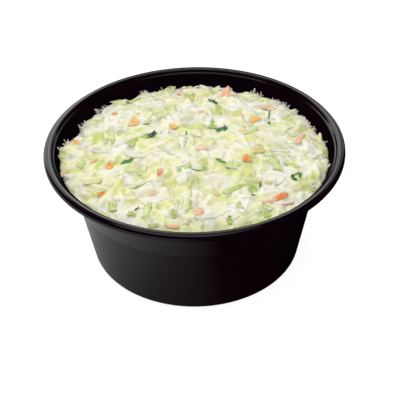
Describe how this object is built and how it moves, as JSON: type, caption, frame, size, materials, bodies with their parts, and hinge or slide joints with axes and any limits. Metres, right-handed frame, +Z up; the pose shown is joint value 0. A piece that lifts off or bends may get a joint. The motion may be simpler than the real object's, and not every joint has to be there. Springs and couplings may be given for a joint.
{
  "type": "cup of coleslaw",
  "caption": "Shallow round tapered cup of black plastic with a flat rolled rim and a stepped collar, filled with finely chopped creamy coleslaw as a side dish.",
  "frame": {"origin": "centre of the cup's flat underside", "axes": "+Z up through the middle of the cup, +X to the right and +Y away as the cup is seen from its front; the cup is round, so only the salad's uneven top shows which side is the front"},
  "size_m": [0.117, 0.117, 0.0492],
  "materials": {
    "cup_plastic": "black moulded plastic, semi-gloss",
    "coleslaw": "moist chopped cabbage in a thin creamy dressing"
  },
  "bodies": {
    "root": {"cup": "cup_plastic", "coleslaw": "coleslaw"}
  },
  "joints": []
}
